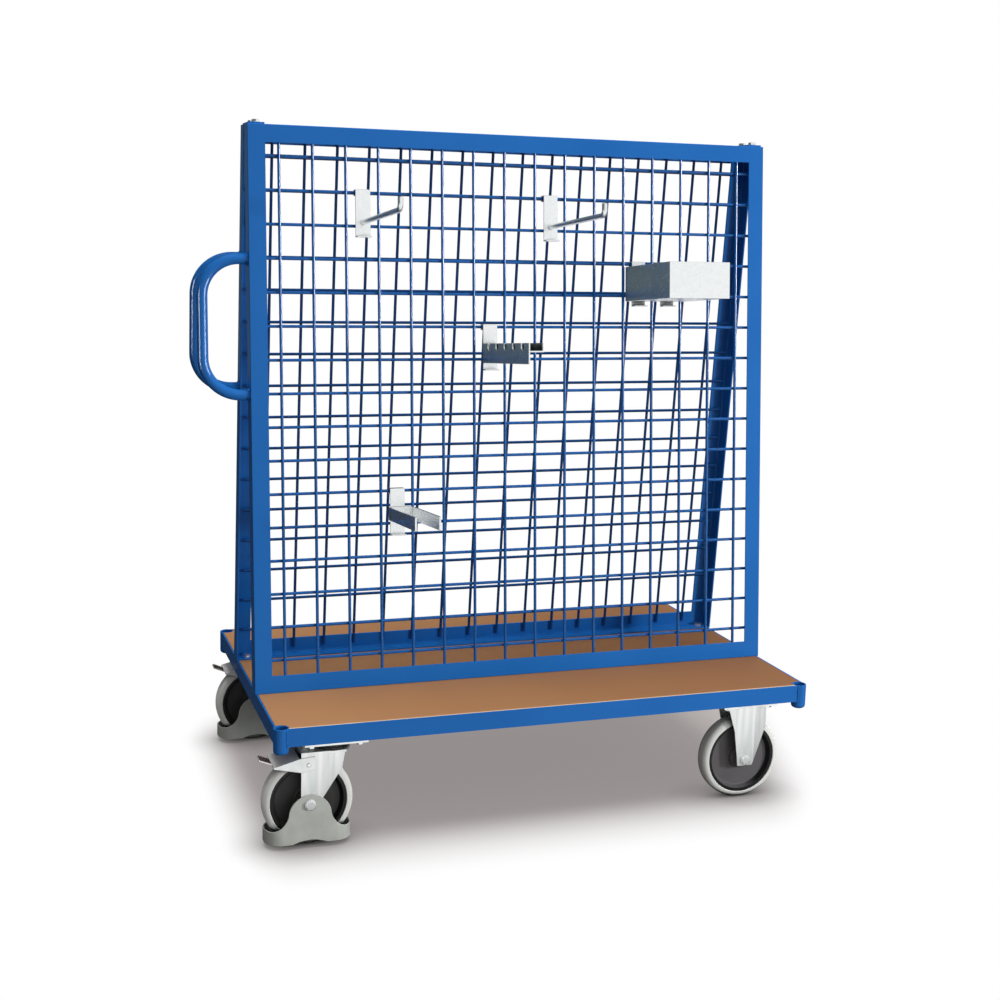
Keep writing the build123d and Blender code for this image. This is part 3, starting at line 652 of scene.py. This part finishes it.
def dressPosts():
    shapes = []
    welds = []
    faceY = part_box("rear_rail")[1].y
    railLow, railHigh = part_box("front_rail")[0].z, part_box("front_rail")[1].z
    bore, lip = postSet["bore"], postSet["lip"]
    for index, (low, high) in enumerate(solidsOf("corner_posts")):
        radius = (high.x - low.x) / 2
        centre = (low + high) / 2
        bottom = low.z + postSet["floor"]
        corners = [(0, low.z, 0), (radius, low.z, postSet["round"]), (radius, high.z, lip)]
        corners += [(bore, high.z, lip), (bore, bottom, postSet["heel"]), (0, bottom, 0)]
        shape = lathe(roundOutline(corners, steps=4), count=64)
        shapes.append(placed(shape, Matrix.Translation((centre.x, centre.y, 0))))
        inX = -1 if centre.x > 0 else 1
        outY = 1 if centre.y > 0 else -1
        gap = faceY - abs(centre.y)
        step = math.sqrt(radius**2 - gap**2)
        for x, y in ((centre.x + inX * step, outY * faceY), (centre.x - inX * gap, centre.y - outY * step)):
            path = line(Vector((x, y, railLow)), Vector((x, y, railHigh)))
            welds.append(bead(path, weldSet["bead"], index))
    standIn("corner_posts", shapes)
    newPiece("post_welds", welds, finishes["blue_paint"], "chassis")


dressPosts()
print("posts done")


# bolts and nuts with chamfers, washers and cut threads
boltSet = {"flats": 0.016, "head": 0.0064, "radius": 0.005, "thread": 0.014, "play": 0.0001}
boltSet.update({"washer": 0.010, "washerBore": 0.004, "washerHigh": 0.0016})


def verticalBolt(low, high, headUp):
    head, collar, radius = boltSet["head"], boltSet["washerHigh"], boltSet["radius"]
    centre = (low + high) / 2
    tip = low.z - high.z + head
    shank = tip + boltSet["thread"]
    shapes = [hexSolid(boltSet["flats"], collar, head, highCut=True)]
    shapes.append(washer(boltSet["washerBore"], boltSet["washer"], 0, collar))
    shapes.append(lathe([(0, 0), (radius, 0), (radius, shank), (0, shank)], count=32))
    shapes.append(threaded(radius, tip, shank))
    seat = high.z - head if headUp else low.z + head
    turn = Matrix.Identity(4) if headUp else Matrix.Rotation(math.pi, 4, "X")
    spin = Matrix.Rotation(centre.x * 7 + centre.y * 11, 4, "Z")  # each bolt stops at its own angle
    return [placed(shape, Matrix.Translation((centre.x, centre.y, seat)) @ turn @ spin) for shape in shapes]


def dressBolts():
    for node in ("caster_plate_bolts", "panel_foot_bolts", "panel_tie_bolts"):
        shapes = []
        for low, high in solidsOf(node):
            shapes += verticalBolt(low, high, headUp=node != "caster_plate_bolts")
        standIn(node, shapes)
    nuts = []
    for low, high in solidsOf("frame_nuts"):
        centre = (low + high) / 2
        spin = Matrix.Rotation(centre.x * 5 + centre.y * 3, 4, "Z")
        bore = boltSet["radius"] + boltSet["play"]
        nut = hexSolid(boltSet["flats"], low.z, high.z, lowCut=True, highCut=True, bore=bore)
        nuts.append(placed(nut, Matrix.Translation((centre.x, centre.y, 0)) @ spin))
    standIn("frame_nuts", nuts)


dressBolts()
print("bolts done")


# wheels
rimSet = {"rim": 0.085, "lip": 0.078, "web": 0.073, "boss": 0.027, "hub": 0.021, "bore": 0.014}
rimSet.update({"rimHalf": 0.0195, "webHalf": 0.006, "bossHalf": 0.018})
tyreSet = {"half": 0.021, "radius": 0.100, "shoulder": 0.013, "play": 0.0001, "bevel": 0.001}
tyreSet.update({"bevelRound": 0.0005, "seam": 0.0012, "seamTop": 0.0008, "seamHigh": 0.0003})
tyreSet["seamRound"] = 0.0002
layDown = Matrix.Rotation(math.radians(90), 4, "X")


def rimShape(hubHalf):
    half = [  # radius, half width, fillet
        (rimSet["bore"], hubHalf, 0.0006),
        (rimSet["hub"], hubHalf, 0.0012),
        (rimSet["hub"], rimSet["bossHalf"], 0.001),
        (rimSet["boss"], rimSet["bossHalf"], 0.002),
        (rimSet["boss"], rimSet["webHalf"], 0.004),
        (rimSet["web"], rimSet["webHalf"], 0.005),
        (rimSet["lip"], rimSet["rimHalf"], 0.0015),
        (rimSet["rim"], rimSet["rimHalf"], 0.0008),
    ]
    return lathe(roundOutline(bothSides(half)), count=96, closed=True)


def tyreShape():
    side, top, inner = tyreSet["half"], tyreSet["radius"], rimSet["rim"] + tyreSet["play"]
    half = [
        (inner, side - tyreSet["bevel"], 0),
        (inner + tyreSet["bevel"], side, tyreSet["bevelRound"]),
        (top, side, tyreSet["shoulder"]),
        (top, tyreSet["seam"], tyreSet["seamRound"]),
        (top + tyreSet["seamHigh"], tyreSet["seamTop"], tyreSet["seamRound"]),
    ]
    return lathe(roundOutline(bothSides(half), steps=5), count=128, closed=True)


def dressWheels():
    for name in ("front_left", "rear_left", "front_right", "rear_right"):
        axle = middleOf(name + "_tyre")
        hubHalf = (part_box(name + "_rim")[1].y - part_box(name + "_rim")[0].y) / 2
        place = Matrix.Translation(axle) @ layDown
        plastic = newFinish(name + "RimPlastic", rimLooks, axle=axle)
        standIn(name + "_rim", [placed(rimShape(hubHalf), place)], plastic)
        rubber = newFinish(name + "TyreRubber", tyreLooks, axle=axle)
        standIn(name + "_tyre", [placed(tyreShape(), place)], rubber)
        roundedCopy(name + "_hub_bearing", width=0.0008)


dressWheels()
print("wheels done")


# axles with chamfered heads, nuts and spacer tubes
axleSet = {"flats": 0.019, "radius": 0.006, "head": 0.0075, "sleeve": 0.010, "play": 0.0001}
axleSet.update({"washer": 0.0125, "washerBore": 0.005, "washerHigh": 0.0015})


def axleShapes(boxes):  # boxes of one bolt, its spacer and its nut
    bolt = max(boxes, key=lambda box: box[1].y - box[0].y)
    nut = min(boxes, key=lambda box: box[1].y - box[0].y)
    sleeve = [box for box in boxes if box is not bolt and box is not nut][0]
    centre = (bolt[0] + bolt[1]) / 2
    facing = 1 if abs(nut[0].y - bolt[1].y) < abs(nut[1].y - bolt[0].y) else -1
    headEnd = bolt[0].y if facing > 0 else bolt[1].y

    def span(box):  # along the bolt from the head's end
        return sorted(((box[0].y - headEnd) * facing, (box[1].y - headEnd) * facing))

    nutLow, nutHigh = span(nut)
    head, radius, flats = axleSet["head"], axleSet["radius"], axleSet["flats"]
    collar = head - axleSet["washerHigh"]
    shapes = [hexSolid(flats, 0, collar, lowCut=True)]
    shapes.append(washer(axleSet["washerBore"], axleSet["washer"], collar, head))
    shapes.append(lathe([(0, head), (radius, head), (radius, nutLow), (0, nutLow)], count=32))
    shapes.append(threaded(radius, nutLow, bolt[1].y - bolt[0].y))
    bore = radius + axleSet["play"]
    shapes.append(hexSolid(flats, nutLow, nutHigh, lowCut=True, highCut=True, bore=bore))
    shapes.append(washer(radius, axleSet["sleeve"], *span(sleeve)))
    turn = Matrix.Rotation(-facing * math.pi / 2, 4, "X")
    place = Matrix.Translation((centre.x, headEnd, centre.z)) @ turn
    return [placed(shape, place) for shape in shapes]


def dressAxles():
    for name in ("front", "rear"):
        standIn(name + "_left_axle", axleShapes(solidsOf(name + "_left_axle")))
    boxes = solidsOf("fixed_axles")
    shapes = []
    for side in (-1, 1):
        shapes += axleShapes([box for box in boxes if (box[0].y + box[1].y) * side > 0])
    standIn("fixed_axles", shapes)


dressAxles()
print("axles done")


# tread pads of the brakes; tip and kink lie along X from the axle and up from the wheel's top
padSet = {"tip": (-0.107, 0.001), "kink": (-0.080, -0.010), "half": 0.0138, "ribs": 7, "margin": 0.0015}
padSet.update({"edge": 0.0012, "sunk": -0.0003, "base": 0.0011, "rib": 0.0023})
padSet["wave"] = ((0.15, "base"), (0.3, "rib"), (0.7, "rib"), (0.85, "base"))  # across one rib


def treadPad(name):
    axle = middleOf(name + "_left_tyre")
    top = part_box(name + "_left_tyre")[1].z
    tip = Vector((axle.x + padSet["tip"][0], 0, top + padSet["tip"][1]))
    kink = Vector((axle.x + padSet["kink"][0], 0, top + padSet["kink"][1]))
    along = (kink - tip).normalized()
    rise = Vector((-along.z, 0, along.x))
    run = (kink - tip).length
    pitch = (run - 2 * padSet["margin"]) / padSet["ribs"]
    edge = padSet["edge"]
    outline = [(edge, padSet["sunk"]), (edge, padSet["base"])]
    for rib in range(padSet["ribs"]):
        start = padSet["margin"] + rib * pitch
        outline += [(start + pitch * share, padSet[level]) for share, level in padSet["wave"]]
    outline += [(run - edge, padSet["base"]), (run - edge, padSet["sunk"])]
    points = [tip + along * reach + rise * height for reach, height in outline]
    ends = [[point + Vector((0, axle.y + side * padSet["half"], 0)) for point in points] for side in (-1, 1)]
    body = name + "_left_pedal"
    newPiece(name + "_left_tread_pad", [loft(ends)], treadRubber, body, sharp=20)


# race rings with a groove round the middle
ringSet = {"bore": 0.020, "step": 0.003, "groove": 0.0012, "round": 0.001, "fine": 0.0005}


def raceRing(name):
    low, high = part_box(name + "_left_race_ring")
    centre = (low + high) / 2
    bore, step, groove = ringSet["bore"], ringSet["step"], ringSet["groove"]
    broad, fine = ringSet["round"], ringSet["fine"]
    outer = (high.x - low.x) / 2
    inner = outer - step
    mid = (low.z + high.z) / 2
    corners = [(bore, low.z, 0), (inner, low.z, broad), (outer, low.z + step, broad)]
    corners += [(outer, mid - groove, fine), (inner, mid, fine), (outer, mid + groove, fine)]
    corners += [(outer, high.z - step, broad), (inner, high.z, broad), (bore, high.z, 0)]
    ring = lathe(roundOutline(corners), count=72, closed=True)
    standIn(name + "_left_race_ring", [placed(ring, Matrix.Translation((centre.x, centre.y, 0)))])


# pedal rivets with a domed head at both ends
rivetSet = {"shank": 0.004, "head": 0.002, "crown": 0.7, "crownHigh": 0.0002, "round": 0.001, "fine": 0.0005}


def pedalRivets(name):
    rivets = []
    for low, high in solidsOf(name + "_left_pedal_rivets"):
        size = (high.x - low.x) / 2
        run = high.y - low.y
        half = [(0, 0, 0), (size * rivetSet["crown"], rivetSet["crownHigh"], rivetSet["round"])]
        half += [(size, rivetSet["head"], rivetSet["fine"]), (rivetSet["shank"], rivetSet["head"], 0)]
        corners = half + [(radius, run - height, fillet) for radius, height, fillet in reversed(half)]
        spot = Matrix.Translation(((low.x + high.x) / 2, high.y, (low.z + high.z) / 2))
        rivets.append(placed(lathe(roundOutline(corners), count=32), spot @ layDown))
    standIn(name + "_left_pedal_rivets", rivets, forkZinc)


def dressCasters():
    for name in ("front", "rear"):
        raceRing(name)
        roundedCopy(name + "_left_fork", width=0.0011, finish=forkZinc, sharp=5)
        roundedCopy(name + "_left_foot_guard", width=0.0012)
        roundedCopy(name + "_left_brake_pedal", width=0.0009, finish=pedalZinc)
        treadPad(name)
        roundedCopy(name + "_left_brake_shoe", width=0.0012)
        pedalRivets(name)
    roundedCopy("fixed_forks", width=0.0011, finish=forkZinc, sharp=5)
    roundedCopy("swivel_top_plates", width=0.001)
    roundedCopy("kingpins", width=0.001)


dressCasters()
print("casters done")


# plain steelwork, board and holders with rounded edges
edgeSet = {
    "front_rail": 0.0018, "rear_rail": 0.0018, "left_end_rail": 0.0018, "right_end_rail": 0.0018,
    "cross_members": 0.0016, "corner_gussets": 0.001, "deck_board": 0.0006, "panel_tie_plates": 0.001,
    "hanger_plates": 0.0009, "disc_hooks": 0.0012, "hammer_fork": 0.0012, "tray": 0.0007,
}

for node, width in edgeSet.items():
    roundedCopy(node, width)
roundedCopy("tool_rack", width=0.0009, finish=rackSheet)
for node, paint in (("mesh", wirePaintShaded), ("handle", finishes["blue_paint"])):
    for name in ("front", "rear"):
        mesh = cadNodes[f"{name}_{node}"].data
        mesh.materials.clear()
        mesh.materials.append(paint)
print("steelwork done")


# floor: a partly painted soft grey shadow under the deck, a glow that only the camera sees and that fades to
# white, painted contact shade near parts, and a painted sheen that only mirrors see
floorSet = {"pale": ink(130, 125, 124), "dark": ink(127, 122, 121), "shadowGlow": ink(145, 140, 139), "size": 9}
floorSet.update({"contactShade": ink(30, 29, 28), "near": 0.1, "left": -0.548, "right": 0.716, "slant": 0.339})
floorSet.update({"half": 0.287, "fadeLeft": 0.141, "fadeRight": 0.176, "fadeSide": 0.313})
floorSet.update({"sheen": ink(46, 48, 50), "sheenFrom": 0.45, "sheenTo": 0.8, "sheenLeft": 1.0})


def floorShader():
    material = bpy.data.materials.new("floor")
    material.use_nodes = True
    tree = material.node_tree
    start = Strand(tree)
    coords = start.add("TexCoord", out="Object")
    x = coords.axis("X")
    y = coords.axis("Y")
    offLeft = (floorSet["left"] - x).calc("MAXIMUM", 0.0) / floorSet["fadeLeft"]
    offRight = (x - (y * floorSet["slant"] + floorSet["right"])).calc("MAXIMUM", 0.0) / floorSet["fadeRight"]
    offSide = (y.calc("ABSOLUTE") - floorSet["half"]).calc("MAXIMUM", 0.0) / floorSet["fadeSide"]
    fade = (((offLeft + offRight) ** 2 + offSide**2) ** 0.5).smooth()
    seen = start.add("LightPath", out="Is Camera Ray")
    mirrored = start.add("LightPath", out="Is Glossy Ray")
    grey = coords.noise(30.0).blend(floorSet["pale"], floorSet["dark"])
    matt = start.add("BsdfDiffuse", {}, {"Color": (seen * fade).blend(grey, black)})
    # painted shadow: the grey patch glows for the camera, darkened by ambient occlusion near parts, and fades
    # to white
    glow = start.openness(floorSet["near"]).blend(floorSet["contactShade"], fade.blend(floorSet["shadowGlow"], white))
    shadowGlow = start.add("Emission", {}, {"Color": seen.blend(black, glow), "Strength": 1.0})
    both = start.add("AddShader", {}, {0: matt, 1: shadowGlow})
    # painted reflection: mirrors see the floor dark near the deck and pale far in front and behind to the
    # right
    around = (y * -1.0).calc("MAXIMUM", y.calc("MINIMUM", x + floorSet["sheenLeft"]))
    shine = around.smooth(floorSet["sheenFrom"], floorSet["sheenTo"]).blend(floorSet["sheen"], white)
    sheen = start.add("Emission", {}, {"Color": shine, "Strength": 1.0})
    whole = start.add("MixShader", {}, {0: mirrored, 1: both, 2: sheen})
    tree.links.new(whole.socket, tree.nodes["Material Output"].inputs["Surface"])
    return material


def addFloor():
    size = floorSet["size"]
    corners = [(-size, -size, 0), (size, -size, 0), (size, size, 0), (-size, size, 0)]
    mesh = bpy.data.meshes.new("floor")
    mesh.from_pydata(corners, [], [(0, 1, 2, 3)])
    mesh.materials.append(floorShader())
    floor = bpy.data.objects.new("floor", mesh)
    bpy.context.scene.collection.objects.link(floor)
    return floor


def addLamp(name, place, target, size, power, skips=(), tall=0.0):  # a tall lamp only shows as a shine
    lamp = bpy.data.lights.new(name, "AREA")
    lamp.shape = "RECTANGLE" if tall else "DISK"
    lamp.size = size
    lamp.size_y = tall or size
    lamp.energy = power
    holder = bpy.data.objects.new(name, lamp)
    holder.location = place
    holder.rotation_euler = (Vector(target) - Vector(place)).to_track_quat("-Z", "Y").to_euler()
    holder.visible_glossy = tall > 0
    holder.visible_diffuse = tall == 0
    bpy.context.scene.collection.objects.link(holder)
    if skips:
        unlit = bpy.data.collections.new(name + "Skips")
        for piece in skips:
            unlit.objects.link(piece)
        for entry in unlit.collection_objects:
            entry.light_linking.link_state = "EXCLUDE"
        holder.light_linking.receiver_collection = unlit


# world: white to the camera, a dim room for matt light, bright panels in front and behind for mirrors
skySet = {"roomAxis": (0.55, -0.45, 0.70), "frontAxis": (0.45, -0.88, 0.12), "backAxis": (0.80, 0.58, 0.15)}
skySet["room"] = ((0.1, 0.02), (0.4, 0.10), (0.55, 0.28), (0.95, 0.60))
skySet["front"] = ((0.66, 0), (0.84, 0.9), (1.0, 1))
skySet["back"] = ((0.92, 0), (0.98, 0.8))
skySet["dark"] = (0.10, 0.135, 0.135, 1)


def addWorld():
    world = bpy.data.worlds.new("studio")
    world.use_nodes = True
    bpy.context.scene.world = world
    start = Strand(world.node_tree)
    seen = start.add("LightPath", out="Is Camera Ray")
    mirrored = start.add("LightPath", out="Is Glossy Ray")
    direction = start.add("TexCoord", out="Generated")

    def toward(side):
        facing = direction.vector("DOT_PRODUCT", skySet[side + "Axis"], "Value")
        return (facing * 0.5 + 0.5).ramp(*skySet[side])

    panels = toward("front").calc("MAXIMUM", toward("back")).blend(skySet["dark"], white)
    sky = seen.blend(mirrored.blend(toward("room"), panels), white)
    start.feed(world.node_tree.nodes["Background"], {"Color": sky, "Strength": 1.0})


# camera
cameraSet = {"place": (-1.1248, -3.3919, 1.3522), "yaw": 0.3312, "pitch": 0.1524, "roll": 0.0261}
cameraSet.update({"lens": 53.22, "sensor": 36, "shiftX": 0.0003, "shiftY": -0.0488})


def addCamera():
    yaw, pitch, roll = cameraSet["yaw"], cameraSet["pitch"], cameraSet["roll"]
    forward = Vector((math.sin(yaw) * math.cos(pitch), math.cos(yaw) * math.cos(pitch), -math.sin(pitch)))
    flat = Vector((math.cos(yaw), -math.sin(yaw), 0))
    right = flat * math.cos(roll) + flat.cross(forward) * math.sin(roll)
    up = right.cross(forward)
    lens = bpy.data.cameras.new("camera")
    lens.lens = cameraSet["lens"]
    lens.sensor_width = cameraSet["sensor"]
    lens.shift_x = cameraSet["shiftX"]
    lens.shift_y = cameraSet["shiftY"]
    camera = bpy.data.objects.new("camera", lens)
    spot = Matrix((right, up, -forward)).transposed().to_4x4()
    spot.translation = cameraSet["place"]
    camera.matrix_world = spot
    bpy.context.scene.collection.objects.link(camera)
    bpy.context.scene.camera = camera


floor = addFloor()
pieces = [piece for piece in bpy.data.objects if piece.type == "MESH"]
rearMesh = [piece for piece in pieces if piece.name.startswith("rear_mesh")]
rearSide = [piece for piece in pieces if piece.name.startswith(("rear_panel", "rear_left_foot"))]
board = [piece for piece in pieces if piece.name.startswith("deck_board")]
notHandles = [piece for piece in pieces if not piece.name.endswith("_handle")]
notFrontMesh = [piece for piece in pieces if piece.name != "front_mesh"]
middle = (0, 0, 0.7)
grips = (-0.6, -0.1, 1.1)
wires = (0.06, -0.1, 1.2)
addLamp("topLamp", (0.1, -0.1, 7.0), (0.1, 0, 0.4), size=5.5, power=500)
addLamp("frontLamp", (1.8, -4.2, 1.1), middle, size=2.0, power=40, skips=[floor, *rearMesh, *rearSide])
addLamp("sideLamp", (3.4, -3.4, 1.2), middle, size=0.7, power=125, skips=[floor, *rearMesh])
addLamp("backLamp", (2.6, 4.2, 1.6), middle, size=2.0, power=80, skips=[floor, *board])
addLamp("rightStrip", (3.1, -3.2, 0.9), grips, size=1.8, power=1000, skips=notHandles, tall=3.6)
addLamp("leftStrip", (-4.8, -1.8, 0.9), grips, size=1.4, power=620, skips=notHandles, tall=2.8)
addLamp("highStrip", (3.75, -2.7, 2.05), wires, size=0.8, power=1500, skips=notFrontMesh, tall=1.5)
addWorld()
addCamera()
bpy.context.scene.view_settings.view_transform = "Standard"
print("stage done")
